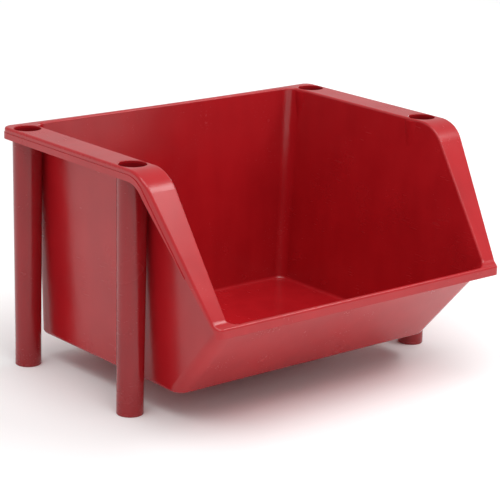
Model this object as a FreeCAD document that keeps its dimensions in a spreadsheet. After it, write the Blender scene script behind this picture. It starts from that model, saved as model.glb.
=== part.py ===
"""Hopper-front stacking parts bin on four round legs.

Frame: +Z up, +Y towards the back, +X to the right seen from the mouth. The
origin is on the floor under the middle of the rim's outline. Millimetres.
"""
import FreeCAD, Part
import math
import os
import Sketcher

V = FreeCAD.Vector
os.makedirs("parts", exist_ok=True)
doc = FreeCAD.newDocument("stacking_bin")

SIZES = [
    # rim outline
    ("rim_width", 491.0),
    ("rim_depth", 397.0),
    ("bin_height", 298.0),
    ("mouth_inset", 26.3),         # how far each side of the rim closes in by its front
    ("taper_length", 111.0),       # how far back from the lip the rim's sides start to close in
    ("back_bow", 4.0),             # how far the back edge curves in at its middle, about
    ("back_bow_radius", 5600.0),
    ("rim_front_corner", 9.0),
    ("rim_back_corner", 13.0),
    ("rim_taper_blend", 60.0),
    # rim section
    ("flange_thickness", 3.0),
    ("skirt_thickness", 2.8),
    ("skirt_depth", 14.0),
    ("rim_top_round", 3.0),
    ("opening_round", 2.4),        # along the edge of the tub's opening
    ("band_depth", 0.8),           # how far the band along the skirt's lower edge stands out
    ("band_top", 6.5),             # from the rim's top down to that band
    ("band_bend_start", 118.7),    # where the band's upper line turns down, back from the lip
    ("band_end", 8.46),            # where that line, run on, meets the lip's lower edge
    ("band_bend", 35.0),
    # rim seen from the side
    ("slope_start", 112.7),        # where the rim turns down, back from the lip
    ("lip_land", 8.63),            # level part of the lip, from its front to the slope
    ("slope_bend", 45.0),
    ("lip_top_height", 142.2),
    ("lip_bottom_height", 130.5),
    ("lip_blend", 14.0),           # where the slope runs out into the lip
    ("skirt_slope_start", 120.8),  # where the skirt's lower edge turns down
    ("skirt_end", 3.87),           # where the skirt's lower edge ends, back from the lip
    ("skirt_bend", 30.0),
    # tub
    ("underside_height", 32.0),
    ("wall", 2.6),
    ("tub_floor", 3.0),
    ("tub_bottom_inset", 47.0),    # each side of the underside, in from the rim's side
    ("wall_draft", 2.2),
    ("front_angle", 41.8),         # of the front wall, from upright
    ("tub_bottom_front", 101.0),   # front of the underside, back from the lip
    ("tub_bottom_back", 12.8),     # back of the underside, forward of the rim's back
    ("back_draft", 0.3),
    ("front_corner_low", 17.0),
    ("front_corner_high", 18.0),
    ("back_corner_low", 15.0),
    ("back_corner_high", 19.0),
    ("bottom_round", 6.0),
    ("floor_round", 4.0),
    # legs and sockets
    ("leg_side_gap", 2.5),         # from a leg's top to the rim's side
    ("leg_back_inset", 29.4),      # back legs' axes, forward of the rim's back
    ("leg_pitch", 212.6),          # from the back legs to the front ones
    ("foot_radius", 16.0),
    ("foot_length", 28.0),
    ("foot_round", 1.0),
    ("leg_spigot", 9.0),           # length of leg inside its pocket
    ("spigot_clearance", 0.05),
    ("wall_clearance", 0.6),       # between a leg and the tub wall beside it
    ("socket_clearance", 0.3),     # round the foot of the bin above
    ("socket_wall", 1.7),
    ("socket_depth", 22.0),
    ("socket_shoulder", 2.9),      # width of the step the foot above lands on
    ("leg_wall", 4.0),             # at the foot
    ("foot_floor", 3.0),
    ("rim_hole_clearance", 0.5),
    ("rim_hole_round", 1.0),
    ("collar_wall", 3.5),          # of the collar round a leg's pocket
    ("collar_low_wall", 1.5),      # of the collar's lower end
    ("collar_length", 46.0),       # below the pocket
]

sheet = doc.addObject("Spreadsheet::Sheet", "sizes")
for row, (alias, value) in enumerate(SIZES, start=1):
    sheet.set(f"A{row}", alias)
    sheet.set(f"B{row}", str(value))
    sheet.setAlias(f"B{row}", alias)
doc.recompute()

WORDS = sorted((alias for alias, _ in SIZES), key=len, reverse=True)
OVERSHOOT = 20.0      # how far a cutting shape runs past what it cuts


def size(alias):
    return float(getattr(sheet, alias))


def ref(text):
    """An expression on the sheet: each size's name in the text becomes a reference to its cell."""
    words = text.split(" ")
    return " ".join(f"<<sizes>>.{w}" if w in WORDS else w for w in words)


def value_of(text):
    result = sheet.evalExpression(ref(text))
    return float(getattr(result, "Value", result))


def bind(thing, path, text):
    thing.setExpression(path, ref(text))


# ---------------------------------------------------------------- sketches

def new_body(name):
    body = doc.addObject("PartDesign::Body", name)
    doc.recompute()
    return body


def new_sketch(body, name, role, height="0"):
    sketch = body.newObject("Sketcher::SketchObject", name)
    plane = [f for f in body.Origin.OriginFeatures if f.Role == role][0]
    sketch.AttachmentSupport = [(plane, "")]
    sketch.MapMode = "FlatFace"
    if height != "0":
        bind(sketch, "AttachmentOffset.Base.z", height)
    return sketch


def tie(sketch, geometry, end, across, up):
    """Hold a sketch point at two bound distances from the sketch's origin."""
    for kind, text in (("DistanceX", across), ("DistanceY", up)):
        number = sketch.addConstraint(
            Sketcher.Constraint(kind, -1, 1, geometry, end, value_of(text)))
        bind(sketch, f"Constraints[{number}]", text)


def outline_sketch(body, name, role, corners, height="0"):
    """A closed sketch through corners given as (across, up, radius) expressions, counterclockwise.

    Each corner is a construction point. The two lines that meet there pass through it, and an
    arc of the corner's radius is tangent to both; a radius of "0" leaves the corner sharp.
    """
    sketch = new_sketch(body, name, role, height)
    points = [V(value_of(across), value_of(up), 0) for across, up, _ in corners]
    radii = [value_of(radius) for _, _, radius in corners]
    count = len(corners)
    starts, ends, arcs = [], [], {}
    for i, (point, radius) in enumerate(zip(points, radii)):
        back = (points[i - 1] - point).normalize()
        ahead = (points[(i + 1) % count] - point).normalize()
        half_angle = back.getAngle(ahead) / 2
        run = radius / math.tan(half_angle)
        starts.append(point + ahead * run)
        ends.append(point + back * run)
        if radius > 0:
            centre = point + (back + ahead).normalize() * (radius / math.sin(half_angle))
            left_turn = back.cross(ahead).z < 0
            first, last = (ends[i], starts[i]) if left_turn else (starts[i], ends[i])
            angles = [math.atan2(p.y - centre.y, p.x - centre.x) for p in (first, last)]
            arcs[i] = (Part.ArcOfCircle(Part.Circle(centre, V(0, 0, 1), radius), *angles), left_turn)
    for i in range(count):
        sketch.addGeometry(Part.LineSegment(starts[i], ends[(i + 1) % count]), False)
    for i, (across, up, radius) in enumerate(corners):
        corner = sketch.addGeometry(Part.Point(points[i]), True)
        tie(sketch, corner, 1, across, up)
        before, after = (i - 1) % count, i
        if i in arcs:
            arc, left_turn = arcs[i]
            rounded = sketch.addGeometry(arc, False)
            enter, leave = (1, 2) if left_turn else (2, 1)
            sketch.addConstraint(Sketcher.Constraint("Tangent", before, 2, rounded, enter))
            sketch.addConstraint(Sketcher.Constraint("Tangent", rounded, leave, after, 1))
            sketch.addConstraint(Sketcher.Constraint("PointOnObject", corner, 1, before))
            sketch.addConstraint(Sketcher.Constraint("PointOnObject", corner, 1, after))
            number = sketch.addConstraint(Sketcher.Constraint("Radius", rounded, radii[i]))
            bind(sketch, f"Constraints[{number}]", radius)
        else:
            sketch.addConstraint(Sketcher.Constraint("Coincident", before, 2, corner, 1))
            sketch.addConstraint(Sketcher.Constraint("Coincident", after, 1, corner, 1))
    return sketch


def add_feature(body, kind, name, sketch, **settings):
    feature = body.newObject(kind, name)
    feature.Profile = sketch
    for key, value in settings.items():
        setattr(feature, key, value)
    sketch.Visibility = False
    return feature


# ---------------------------------------------------------------- rim

def rim_prism(name, inset):
    """The rim's outline in plan, drawn in by an inset all round and carried up from the floor."""
    body = new_body(name)
    half = f"rim_width / 2 - {inset}"
    mouth = f"rim_width / 2 - mouth_inset - {inset}"
    front = f"- rim_depth / 2 + {inset}"
    back = f"rim_depth / 2 - {inset}"
    break_line = "- rim_depth / 2 + taper_length"
    front_round = f"rim_front_corner - {inset}"
    side_blend = f"rim_taper_blend - {inset}"
    back_round = f"rim_back_corner - {inset}"
    outline = outline_sketch(body, name + "_outline", "XY_Plane", [
        (mouth, front, front_round),
        (half, break_line, side_blend),
        (half, back, back_round),
        ("0", f"{back} - 2 * back_bow", f"back_bow_radius + {inset}"),
        (f"-1 * ( {half} )", back, back_round),
        (f"-1 * ( {half} )", break_line, side_blend),
        (f"-1 * ( {mouth} )", front, front_round),
    ])
    pad = add_feature(body, "PartDesign::Pad", name + "_pad", outline)
    bind(pad, "Length", "bin_height")
    return body


def side_profile(name, corners):
    """A shape with one section across the whole width, from (y, z, radius) corners."""
    body = new_body(name)
    outline = outline_sketch(body, name + "_outline", "YZ_Plane", corners)
    pad = add_feature(body, "PartDesign::Pad", name + "_pad", outline, Midplane=True)
    bind(pad, "Length", f"rim_width + {2 * OVERSHOOT}")
    return body


FRONT = "- rim_depth / 2"
PAST_FRONT = f"{FRONT} - {OVERSHOOT}"
BEHIND = f"rim_depth / 2 + {OVERSHOOT}"
SLOPE = "( ( slope_start - lip_land ) / ( bin_height - lip_top_height ) )"


def under_top_line(name, drop):
    """Everything below the rim's top line, lowered by a thickness measured square to the line."""
    bend_y = f"{FRONT} + slope_start + {drop} * ( sqrt( 1 + {SLOPE} ^ 2 ) - {SLOPE} )"
    top = f"bin_height - {drop}"
    lip = f"lip_top_height - {drop}"
    slope_end = f"{bend_y} - ( bin_height - lip_top_height ) * {SLOPE}"
    return side_profile(name, [
        (PAST_FRONT, f"-{OVERSHOOT}", "0"),
        (BEHIND, f"-{OVERSHOOT}", "0"),
        (BEHIND, top, "0"),
        (bend_y, top, f"slope_bend - {drop}"),
        (slope_end, lip, f"lip_blend + {drop}"),
        (PAST_FRONT, lip, "0"),
    ])


def common(name, base, tool):
    result = doc.addObject("Part::Common", name)
    result.Base = base
    result.Tool = tool
    return result


def fuse(name, *shapes):
    result = doc.addObject("Part::MultiFuse", name)
    result.Shapes = list(shapes)
    return result


def cut(name, base, tool):
    result = doc.addObject("Part::Cut", name)
    result.Base = base
    result.Tool = tool
    return result


def round_solid(name, base, radius, chosen):
    """Fillet the edges of a shape whose middle point passes the test."""
    doc.recompute()
    edges = []
    for number, edge in enumerate(base.Shape.Edges, start=1):
        middle = edge.valueAt((edge.FirstParameter + edge.LastParameter) / 2)
        if chosen(middle):
            edges.append((number, radius, radius))
    if not edges:
        raise RuntimeError(f"{name}: no edge found")
    rounded = doc.addObject("Part::Fillet", name)
    rounded.Base = base
    rounded.Edges = edges
    return rounded


def lies_on(faces, point):
    """Is the point on any of these faces?"""
    vertex = Part.Vertex(point)
    return any(face.distToShape(vertex)[0] < 1e-4 for face in faces)


def upright_faces(shape):
    return [f for f in shape.Faces if abs(f.normalAt(0, 0).z) < 0.01]


def upper_faces(shape):
    """The faces across a side profile's top: all but its floor, its back and its two flanks."""
    return [f for f in shape.Faces if f.normalAt(0, 0).z > 0.01]


rim_outer = rim_prism("rim_outer", "0")
rim_face = rim_prism("rim_face", "band_depth")
rim_inner = rim_prism("rim_inner", "skirt_thickness")
below_top = under_top_line("below_top", "0")
below_flange = under_top_line("below_flange", "flange_thickness")


def below_line(name, bend_y, height, end, bend):
    """Everything below a level line that turns down to the lip's lower edge."""
    return side_profile(name, [
        (PAST_FRONT, f"-{OVERSHOOT}", "0"),
        (BEHIND, f"-{OVERSHOOT}", "0"),
        (BEHIND, height, "0"),
        (bend_y, height, bend),
        (f"{FRONT} + {end}", "lip_bottom_height", "0"),
        (PAST_FRONT, "lip_bottom_height", "0"),
    ])


below_skirt = below_line("below_skirt", f"{FRONT} + skirt_slope_start", "bin_height - skirt_depth",
                         "skirt_end", "skirt_bend")
below_band = below_line("below_band", f"{FRONT} + band_bend_start", "bin_height - band_top",
                        "band_end", "band_bend")
doc.recompute()
sides, tops = upright_faces(rim_face.Shape), upper_faces(below_top.Shape)
rim_rounded = round_solid("rim_rounded", common("rim_sharp", rim_face, below_top),
                          size("rim_top_round"), lambda m: lies_on(sides, m) and lies_on(tops, m))
rim_block = fuse("rim_block", rim_rounded, common("rim_band", rim_outer, below_band))
rim_shell = cut("rim_shell", rim_block,
                fuse("rim_cuts", common("rim_hollow", rim_inner, below_flange), below_skirt))


# ---------------------------------------------------------------- tub

def tub_section(body, name, height, inset):
    """The tub's section at a height: four sides with rounded corners, drawn in by an inset."""
    rise = f"( {height} - underside_height )"
    half = f"rim_width / 2 - tub_bottom_inset + {rise} * tan( wall_draft * 1deg ) - {inset}"
    front_inset = f"{inset} / cos( front_angle * 1deg )"
    front = f"{FRONT} + tub_bottom_front - {rise} * tan( front_angle * 1deg ) + {front_inset}"
    back = f"rim_depth / 2 - tub_bottom_back + {rise} * tan( back_draft * 1deg ) - {inset}"
    share = f"{rise} / ( bin_height - underside_height )"
    front_r = f"front_corner_low + ( front_corner_high - front_corner_low ) * {share} - {inset}"
    back_r = f"back_corner_low + ( back_corner_high - back_corner_low ) * {share} - {inset}"
    return outline_sketch(body, name, "XY_Plane", [
        (half, front, front_r),
        (half, back, back_r),
        (f"-1 * ( {half} )", back, back_r),
        (f"-1 * ( {half} )", front, front_r),
    ], height)


def tub_block(name, low, high, inset, edge_round):
    """The tub's shape between two heights, with the edge round its bottom rounded."""
    sections = new_body(name + "_sections")
    loft = doc.addObject("Part::Loft", name + "_loft")
    loft.Sections = [tub_section(sections, name + "_bottom", low, inset),
                     tub_section(sections, name + "_top", high, inset)]
    loft.Solid = True
    loft.Ruled = True
    z_low = value_of(low)
    return round_solid(name, loft, size(edge_round), lambda m: abs(m.z - z_low) < 0.01)


tub_outer = tub_block("tub_outer", "underside_height", "bin_height", "0", "bottom_round")
tub_cavity = tub_block("tub_cavity", "underside_height + tub_floor",
                       f"bin_height + {OVERSHOOT}", "wall", "floor_round")


walls_solid = fuse("walls_solid", rim_shell, common("tub_wall", tub_outer, rim_block))
walls_solid.Refine = True
walls_sharp = cut("walls_sharp", walls_solid, tub_cavity)
doc.recompute()
hollow_faces = tub_cavity.Shape.Faces
walls = round_solid("walls", walls_sharp, size("opening_round"),
                    lambda m: lies_on(hollow_faces, m) and lies_on(tops, m))


# ---------------------------------------------------------------- leg places

LEGS = [
    ("front_left", -1, "rim_depth / 2 - leg_back_inset - leg_pitch"),
    ("front_right", 1, "rim_depth / 2 - leg_back_inset - leg_pitch"),
    ("back_left", -1, "rim_depth / 2 - leg_back_inset"),
    ("back_right", 1, "rim_depth / 2 - leg_back_inset"),
]


SOCKET = "foot_radius + socket_clearance"
LEG_TOP_RADIUS = f"{SOCKET} + socket_wall"
RIM_HOLE = "foot_radius + rim_hole_clearance"


def stand_at(thing, side, y):
    """Put a leg, collar or cutter on a leg's axis."""
    bind(thing, "Placement.Base.x", f"{side} * ( rim_width / 2 - leg_side_gap - ( {LEG_TOP_RADIUS} ) )")
    bind(thing, "Placement.Base.y", y)


def turned(name, corners):
    """A solid of revolution about Z from (radius, height, round) corners, counterclockwise."""
    body = new_body(name)
    section = outline_sketch(body, name + "_section", "XZ_Plane", corners)
    revolution = add_feature(body, "PartDesign::Revolution", name + "_turn", section)
    revolution.ReferenceAxis = (section, ["V_Axis"])
    revolution.Angle = 360
    return body


POCKET_FLOOR = "bin_height - flange_thickness - leg_spigot"
LEG_TOP = "bin_height - flange_thickness"


def leg(name):
    """A tapered post: closed foot, hollow core, and a stacking socket in its top."""
    return turned(name, [
        ("0", "0", "0"),
        ("foot_radius", "0", "foot_round"),
        ("foot_radius", "foot_length", "0"),
        (LEG_TOP_RADIUS, POCKET_FLOOR, "0"),
        (LEG_TOP_RADIUS, LEG_TOP, "0"),
        (SOCKET, LEG_TOP, "0"),
        (SOCKET, f"{LEG_TOP} - socket_depth", "0"),
        (f"{SOCKET} - socket_shoulder", f"{LEG_TOP} - socket_depth", "0"),
        ("foot_radius - leg_wall", "foot_floor", "0"),
        ("0", "foot_floor", "0"),
    ])


def leg_cutter(name):
    """What a leg and its socket need taken out of the rim and the tub wall."""
    room = f"{LEG_TOP_RADIUS} + wall_clearance"
    pocket = f"{LEG_TOP_RADIUS} + spigot_clearance"
    flare = f"{RIM_HOLE} + {OVERSHOOT}"
    return turned(name, [
        ("0", f"{POCKET_FLOOR} - collar_length", "0"),
        (room, f"{POCKET_FLOOR} - collar_length", "0"),
        (room, POCKET_FLOOR, "0"),
        (pocket, POCKET_FLOOR, "0"),
        (pocket, LEG_TOP, "0"),
        (RIM_HOLE, LEG_TOP, "0"),
        (RIM_HOLE, "bin_height", "rim_hole_round"),
        (flare, "bin_height", "0"),
        (flare, f"bin_height + {OVERSHOOT}", "0"),
        ("0", f"bin_height + {OVERSHOOT}", "0"),
    ])


def collar(name, low, high, low_wall, inside):
    """A round collar about a leg's axis, kept inside another shape."""
    cone = doc.addObject("Part::Cone", name + "_cone")
    bind(cone, "Radius1", f"{LEG_TOP_RADIUS} + {low_wall}")
    bind(cone, "Radius2", f"{LEG_TOP_RADIUS} + collar_wall + 0.001")
    bind(cone, "Height", f"{high} - ( {low} )")
    bind(cone, "Placement.Base.z", low)
    return cone, common(name, cone, inside)


legs, collars, cutters = [], [], []
for place, side, y in LEGS:
    post = leg("leg_" + place)
    cutter = leg_cutter("cutter_" + place)
    upper, upper_collar = collar("upper_collar_" + place, POCKET_FLOOR, LEG_TOP,
                                 "collar_wall", rim_block)
    lower, lower_collar = collar("lower_collar_" + place, f"{POCKET_FLOOR} - collar_length",
                                 POCKET_FLOOR, "collar_low_wall", tub_outer)
    for thing in (post, cutter, upper, lower):
        stand_at(thing, side, y)
    legs.append(post)
    cutters.append(cutter)
    collars += [upper_collar, lower_collar]


# ---------------------------------------------------------------- bin body

bin_body = cut("bin_body", fuse("body_solid", walls, fuse("collars", *collars)),
               fuse("cutters", *cutters))
SUB_PARTS = [bin_body] + legs
for piece in SUB_PARTS:
    piece.Label = piece.Name
doc.recompute()

for thing in doc.Objects:
    if "Invalid" in thing.State or "Error" in thing.State:
        raise RuntimeError(f"{thing.Name}: {thing.getStatusString()}")
for piece in SUB_PARTS:
    shape = piece.Shape
    if shape.isNull() or not shape.isValid() or len(shape.Solids) != 1:
        raise RuntimeError(f"{piece.Label}: not one valid solid")

for piece in SUB_PARTS:
    piece.Shape.exportStep(f"parts/{piece.Label}.step")
    print(piece.Label, round(piece.Shape.Volume), "mm3")
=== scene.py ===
# %% [markdown]
# # A moulded stacking bin in red plastic
# The bin is one hard, glossy material from edge to edge, so its look rests on three things:
# soft rounded edges that catch the light, a skin that is almost but not quite smooth, and
# large soft lights that the gloss can reflect. The CAD model gives every size and place, and its
# five solids are shown as they are: the tub, and the four posts that stand under its rim.

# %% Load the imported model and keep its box
import math

import bpy
from mathutils import Matrix, Vector


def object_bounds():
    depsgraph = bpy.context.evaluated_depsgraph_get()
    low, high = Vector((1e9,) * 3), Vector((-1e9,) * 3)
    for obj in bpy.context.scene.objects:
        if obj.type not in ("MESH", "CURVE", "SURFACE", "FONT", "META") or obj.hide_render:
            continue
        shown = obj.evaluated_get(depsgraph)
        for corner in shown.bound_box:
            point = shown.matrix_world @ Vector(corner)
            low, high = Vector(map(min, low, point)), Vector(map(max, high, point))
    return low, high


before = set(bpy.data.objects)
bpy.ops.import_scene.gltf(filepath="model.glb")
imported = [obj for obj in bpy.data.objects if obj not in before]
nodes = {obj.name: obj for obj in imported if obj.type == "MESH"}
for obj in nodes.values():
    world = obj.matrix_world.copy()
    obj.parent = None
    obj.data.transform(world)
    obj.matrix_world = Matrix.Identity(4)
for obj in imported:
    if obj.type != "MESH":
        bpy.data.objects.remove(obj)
cad_low, cad_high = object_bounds()
print("nodes:", sorted(nodes))
print("size in metres:", [round(x, 3) for x in cad_high - cad_low])

# %% [markdown]
# ## Camera
# A long lens from about two and a half metres keeps the bin's edges nearly parallel, as in a
# catalogue picture. The camera is built from its heading, its downward tilt and a small roll,
# the three angles that a tripod head shows. The cell turns them into the camera's right, up and
# forward directions, and those three directions are the columns of its matrix.

# %% Camera
HEADING, TILT, ROLL = math.radians(39.89), math.radians(16.21), math.radians(1.57)
CAMERA_PLACE = Vector((-1.5273, -1.8109, 0.8381))
LENS_MM, SENSOR_MM = 144.94, 36

forward = Vector((math.sin(HEADING) * math.cos(TILT), math.cos(HEADING) * math.cos(TILT),
                  -math.sin(TILT)))
level_right = Vector((math.cos(HEADING), -math.sin(HEADING), 0))
level_up = level_right.cross(forward)
right = level_right * math.cos(ROLL) + level_up * math.sin(ROLL)
up = level_up * math.cos(ROLL) - level_right * math.sin(ROLL)

camera_data = bpy.data.cameras.new("camera")
camera_data.lens = LENS_MM
camera_data.sensor_width = SENSOR_MM
camera = bpy.data.objects.new("camera", camera_data)
bpy.context.scene.collection.objects.link(camera)
turned = Matrix((right, up, -forward)).transposed().to_4x4()
camera.matrix_world = Matrix.Translation(CAMERA_PLACE) @ turned
bpy.context.scene.camera = camera
print("camera to bin:", round((CAMERA_PLACE - (cad_low + cad_high) / 2).length, 2), "m")

# %% [markdown]
# ## Floor and view
# The floor is one plain pale sheet, so only the bin has a shape. The Standard view keeps white
# paper white and red plastic saturated. The default view turns strong reds towards pink.

# %% Floor and view
FLOOR_REACH = 6.0
corners = [(-FLOOR_REACH, -FLOOR_REACH, 0), (FLOOR_REACH, -FLOOR_REACH, 0),
           (FLOOR_REACH, FLOOR_REACH, 0), (-FLOOR_REACH, FLOOR_REACH, 0)]
floor_mesh = bpy.data.meshes.new("floor")
floor_mesh.from_pydata(corners, [], [(0, 1, 2, 3)])
floor = bpy.data.objects.new("floor", floor_mesh)
bpy.context.scene.collection.objects.link(floor)

floor_finish = bpy.data.materials.new("floor_paper")
floor_finish.use_nodes = True
floor_shader = floor_finish.node_tree.nodes["Principled BSDF"]
floor_shader.inputs["Base Color"].default_value = (0.94, 0.94, 0.94, 1)
floor_shader.inputs["Roughness"].default_value = 0.9
floor_mesh.materials.append(floor_finish)
bpy.context.scene.view_settings.view_transform = "Standard"
print("view:", bpy.context.scene.view_settings.view_transform)

# %% [markdown]
# ## World and lights
# Gloss shows what surrounds it, so every lamp is also a patch drawn on the plastic. The even
# white world fills the shadows and pales the flat rim, which is seen at a low angle. The ceiling
# is a sun with a very wide disc, which lights the whole floor alike.
#
# - strip_front_right draws the bright patch where the rim turns down its slope.
# - strip_low_right lets that patch fade out below instead of ending in a line.
# - softbox_high fills the front and the inside of the tub.
# - softbox_right draws the thin light lines along edges that face right.

# %% World
WORLD_STRENGTH = 0.56
world = bpy.data.worlds.new("studio")
world.use_nodes = True
backdrop = world.node_tree.nodes["Background"]
backdrop.inputs["Color"].default_value = (1, 1, 1, 1)
backdrop.inputs["Strength"].default_value = WORLD_STRENGTH
bpy.context.scene.world = world
print("world strength:", WORLD_STRENGTH)


# %% Lights
def hang_lamp(name, data, facing, place=(0, 0, 0)):
    """Put a lamp in the scene, shining along a direction."""
    lamp = bpy.data.objects.new(name, data)
    bpy.context.scene.collection.objects.link(lamp)
    lamp.location = place
    lamp.rotation_mode = "QUATERNION"
    lamp.rotation_quaternion = Vector(facing).to_track_quat("-Z", "Y")


def softbox(name, place, target, wide, high, watts):
    """A rectangular lamp that faces a target. Metres and watts."""
    data = bpy.data.lights.new(name, "AREA")
    data.shape = "RECTANGLE"
    data.size, data.size_y = wide, high
    data.energy = watts
    hang_lamp(name, data, Vector(target) - Vector(place), place)
    print(name, watts, "W")


softbox("strip_front_right", (1.3, -1.08, 2.08), (0, 0, 0.25), 1.3, 0.4, 12)
softbox("strip_low_right", (1.34, -1.25, 1.8), (0, 0, 0.25), 1.3, 0.3, 2.5)
softbox("softbox_high", (-0.3, -2.0, 2.6), (0, 0, 0.2), 1.6, 0.8, 8)
softbox("softbox_right", (2.6, 0.75, 0.5), (0, 0, 0.2), 1.2, 0.8, 14)

ceiling = bpy.data.lights.new("ceiling", "SUN")
ceiling.energy = 1.55
ceiling.angle = math.radians(50)
hang_lamp("ceiling", ceiling, (0.15, 0.25, -1))

# %% [markdown]
# ## A kit of surface effects
# Each effect is a node group: a small machine with named inputs and outputs that any material
# can use with its own values. All of them read a position in metres, so a pattern keeps its
# real size and stays put on the object. They give out masks and heights only, and the shader
# itself stays in the material.

# %% A new, empty group
def new_group(name, inputs, outputs):
    """A shader node group with float inputs (name, default) and float outputs."""
    group = bpy.data.node_groups.new(name, "ShaderNodeTree")
    group.interface.new_socket("Position", in_out="INPUT", socket_type="NodeSocketVector")
    for label, default in inputs:
        socket = group.interface.new_socket(label, in_out="INPUT", socket_type="NodeSocketFloat")
        socket.default_value = default
    for label in outputs:
        group.interface.new_socket(label, in_out="OUTPUT", socket_type="NodeSocketFloat")
    return group, group.nodes.new("NodeGroupInput"), group.nodes.new("NodeGroupOutput")


print("every group has an input called Position")


# %% Three small tools that work in a group or in a material
def noise(tree, position, size_mm, detail=2.0, rough=0.5, stretch=(1, 1, 1)):
    """Soft blotches about this many millimetres across. Returns the socket, from 0 to 1."""
    scaled = tree.nodes.new("ShaderNodeMapping")
    scaled.inputs["Scale"].default_value = stretch
    tree.links.new(position, scaled.inputs["Vector"])
    node = tree.nodes.new("ShaderNodeTexNoise")
    node.inputs["Scale"].default_value = 1000 / size_mm
    node.inputs["Detail"].default_value = detail
    node.inputs["Roughness"].default_value = rough
    tree.links.new(scaled.outputs["Vector"], node.inputs["Vector"])
    return node.outputs["Fac"]


def sum_of(tree, operation, first, second=0.0):
    """One operation on sockets or plain numbers. Returns the socket."""
    node = tree.nodes.new("ShaderNodeMath")
    node.operation = operation
    for slot, value in enumerate((first, second)):
        if isinstance(value, (int, float)):
            node.inputs[slot].default_value = value
        else:
            tree.links.new(value, node.inputs[slot])
    return node.outputs[0]


def spread(tree, value, low, high, to_low=0.0, to_high=1.0):
    """Stretch a range of values onto another, smoothly and with flat ends."""
    node = tree.nodes.new("ShaderNodeMapRange")
    node.interpolation_type = "SMOOTHSTEP"
    node.inputs["From Min"].default_value = low
    node.inputs["From Max"].default_value = high
    node.inputs["To Min"].default_value = to_low
    node.inputs["To Max"].default_value = to_high
    tree.links.new(value, node.inputs["Value"])
    return node.outputs["Result"]


print("tools:", noise.__name__, sum_of.__name__, spread.__name__)

# %% [markdown]
# ### Moulded skin
# A polished steel mould leaves plastic that is nearly a mirror. Two small things stay: a slow
# ripple, where the wall cooled a little unevenly, and a fine orange peel from the polish.

# %% Moulded skin
skin, skin_in, skin_out = new_group("moulded_skin", [("Ripple", 1.0), ("Peel", 1.0)], ["Height"])
ripple = noise(skin, skin_in.outputs["Position"], 38, detail=1.0)
peel = noise(skin, skin_in.outputs["Position"], 1.6, detail=2.0)
ripple_height = sum_of(skin, "MULTIPLY", ripple, skin_in.outputs["Ripple"])
peel_height = sum_of(skin, "MULTIPLY", peel, skin_in.outputs["Peel"])
skin.links.new(sum_of(skin, "ADD", ripple_height, peel_height), skin_out.inputs["Height"])
print("group:", skin.name, [item.name for item in skin.interface.items_tree])

# %% [markdown]
# ### Pigment drift
# Colour is mixed into the plastic as pellets. It ends up very even, with faint streaks that
# run the way the plastic flowed, so this noise is stretched along one axis.

# %% Pigment drift
drift, drift_in, drift_out = new_group("pigment_drift", [], ["Mask"])
cloud = noise(drift, drift_in.outputs["Position"], 70, detail=3.0)
streak = noise(drift, drift_in.outputs["Position"], 22, detail=2.0, stretch=(1, 1, 0.22))
CLOUD_SHARE = 0.65
cloud_part = sum_of(drift, "MULTIPLY", cloud, CLOUD_SHARE)
streak_part = sum_of(drift, "MULTIPLY", streak, 1 - CLOUD_SHARE)
both = sum_of(drift, "ADD", cloud_part, streak_part)
drift.links.new(spread(drift, both, 0.32, 0.68), drift_out.inputs["Mask"])
print("group:", drift.name)

# %% [markdown]
# ### Handling marks
# Where parts and hands rub, gloss is lost first. Haze is a mask of soft patches that have gone a
# little dull, and Scuffs is a mask of short hairline marks inside those patches.

# %% Handling marks
marks, marks_in, marks_out = new_group("handling_marks", [("Amount", 0.5)], ["Haze", "Scuffs"])
patches = spread(marks, noise(marks, marks_in.outputs["Position"], 55, detail=3.0), 0.48, 0.72)
hairs = noise(marks, marks_in.outputs["Position"], 2.2, detail=1.0, stretch=(1, 0.12, 1))
hair_lines = spread(marks, hairs, 0.66, 0.74)
haze = sum_of(marks, "MULTIPLY", patches, marks_in.outputs["Amount"])
marks.links.new(haze, marks_out.inputs["Haze"])
marks.links.new(sum_of(marks, "MULTIPLY", haze, hair_lines), marks_out.inputs["Scuffs"])
print("group:", marks.name)

# %% [markdown]
# ### Contact wear
# Two places wear most: the feet, which slide on a floor or in a socket, and the rim's outermost
# edges, which get knocked. The CAD model's box gives both, so the mask is worked out from it. A
# noise breaks the mask up, because real wear is never an even stripe.

# %% Contact wear
contact, contact_in, contact_out = new_group("contact_wear", [], ["Mask"])
split = contact.nodes.new("ShaderNodeSeparateXYZ")
contact.links.new(contact_in.outputs["Position"], split.inputs["Vector"])
across = sum_of(contact, "ABSOLUTE", split.outputs["X"])
height = split.outputs["Z"]
at_side = spread(contact, across, cad_high.x - 0.0019, cad_high.x - 0.0003)
at_top = spread(contact, height, cad_high.z - 0.0035, cad_high.z - 0.0005)
at_foot = spread(contact, height, cad_low.z + 0.005, cad_low.z + 0.0005)
edge = sum_of(contact, "MULTIPLY", at_side, at_top)
places = sum_of(contact, "MAXIMUM", edge, at_foot)
crumbs = noise(contact, contact_in.outputs["Position"], 7, detail=4.0, rough=0.65)
broken = spread(contact, crumbs, 0.40, 0.62)
contact.links.new(sum_of(contact, "MULTIPLY", places, broken), contact_out.inputs["Mask"])
print("group:", contact.name)

# %% [markdown]
# ## Red plastic
# The tub and the posts are the same plastic from different moulds, so one recipe makes both
# materials, with its own strength for each effect. The posts' reds are set darker than the
# tub's, which is painted shade on the same plastic. Most of the look is in the roughness: low
# and slightly uneven, so highlights are clear but their ends are soft.

# %% Tools for a material
def place_group(tree, group, position, **values):
    """Put an effect in a material, fed with a position and its own values."""
    node = tree.nodes.new("ShaderNodeGroup")
    node.node_tree = group
    tree.links.new(position, node.inputs["Position"])
    for name, value in values.items():
        node.inputs[name].default_value = value
    return node


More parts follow.
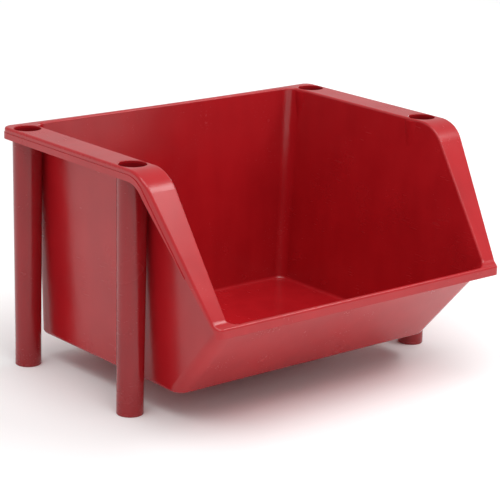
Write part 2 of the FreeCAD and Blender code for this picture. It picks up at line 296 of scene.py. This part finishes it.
def blend(tree, mask, first, second):
    """Mix two colours by a mask. Either may be a colour or a socket."""
    node = tree.nodes.new("ShaderNodeMix")
    node.data_type = "RGBA"
    tree.links.new(mask, node.inputs["Factor"])
    for identifier, value in (("A_Color", first), ("B_Color", second)):
        socket = next(s for s in node.inputs if s.identifier == identifier)
        if isinstance(value, tuple):
            socket.default_value = (*value, 1)
        else:
            tree.links.new(value, socket)
    return next(s for s in node.outputs if s.identifier == "Result_Color")


print("tools:", place_group.__name__, blend.__name__)

# %% [markdown]
# The recipe has three parts. Colour mixes a deep and a bright red by the pigment drift, then
# pales where the plastic is scuffed. Roughness starts from a slow unevenness and rises where the
# surface is hazy or rubbed. The bump stays under a fifth of a millimetre, because the eye reads
# gloss from how straight its reflections are.

# %% The recipe
BUMP_DEPTH = 0.00012
UNEVENNESS = 0.05
HAZE_DULLS = 0.10
SCUFFS_DULL = 0.28
SCUFFS_PALE = 0.12


def red_plastic(name, deep, bright, smooth, ripple, peel, marks_amount):
    """A glossy moulded plastic. Colours are linear RGB; smooth is its lowest roughness."""
    material = bpy.data.materials.new(name)
    material.use_nodes = True
    tree = material.node_tree
    shader = tree.nodes["Principled BSDF"]
    shader.inputs["IOR"].default_value = 1.5
    position = tree.nodes.new("ShaderNodeTexCoord").outputs["Object"]

    pigment = place_group(tree, drift, position)
    worn = place_group(tree, contact, position)
    handled = place_group(tree, marks, position, Amount=marks_amount)
    surface = place_group(tree, skin, position, Ripple=ripple, Peel=peel)

    colour = blend(tree, pigment.outputs["Mask"], deep, bright)
    paler = tuple(channel * 0.8 + 0.09 for channel in bright)
    scuffed = sum_of(tree, "MAXIMUM", worn.outputs["Mask"], handled.outputs["Scuffs"])
    faint = sum_of(tree, "MULTIPLY", scuffed, SCUFFS_PALE)
    tree.links.new(blend(tree, faint, colour, paler), shader.inputs["Base Color"])

    slow = noise(tree, position, 26, detail=3.0)
    uneven = spread(tree, slow, 0.3, 0.7, smooth, smooth + UNEVENNESS)
    hazy = sum_of(tree, "MULTIPLY", handled.outputs["Haze"], HAZE_DULLS)
    rubbed = sum_of(tree, "MULTIPLY", scuffed, SCUFFS_DULL)
    roughness = sum_of(tree, "ADD", sum_of(tree, "ADD", uneven, hazy), rubbed)
    tree.links.new(roughness, shader.inputs["Roughness"])

    bump = tree.nodes.new("ShaderNodeBump")
    bump.inputs["Strength"].default_value = 1.0
    bump.inputs["Distance"].default_value = BUMP_DEPTH
    tree.links.new(surface.outputs["Height"], bump.inputs["Height"])
    tree.links.new(bump.outputs["Normal"], shader.inputs["Normal"])
    return material


print("recipe:", red_plastic.__name__)

# %% Dress every piece
body_plastic = red_plastic("red_plastic_body", (0.40, 0.0075, 0.012), (0.46, 0.010, 0.015),
                           smooth=0.20, ripple=1.6, peel=0.05, marks_amount=0.4)
# The posts' darker reds are painted shade: the same red plastic, made darker in colour.
shaded_leg_plastic = red_plastic("red_plastic_legs_painted_shade", (0.26, 0.0055, 0.009), (0.31, 0.007, 0.011),
                          smooth=0.20, ripple=0.8, peel=0.06, marks_amount=0.5)
for name, node in nodes.items():
    node.data.materials.clear()
    node.data.materials.append(body_plastic if name == "bin_body" else shaded_leg_plastic)
    print(name, "->", node.data.materials[0].name)
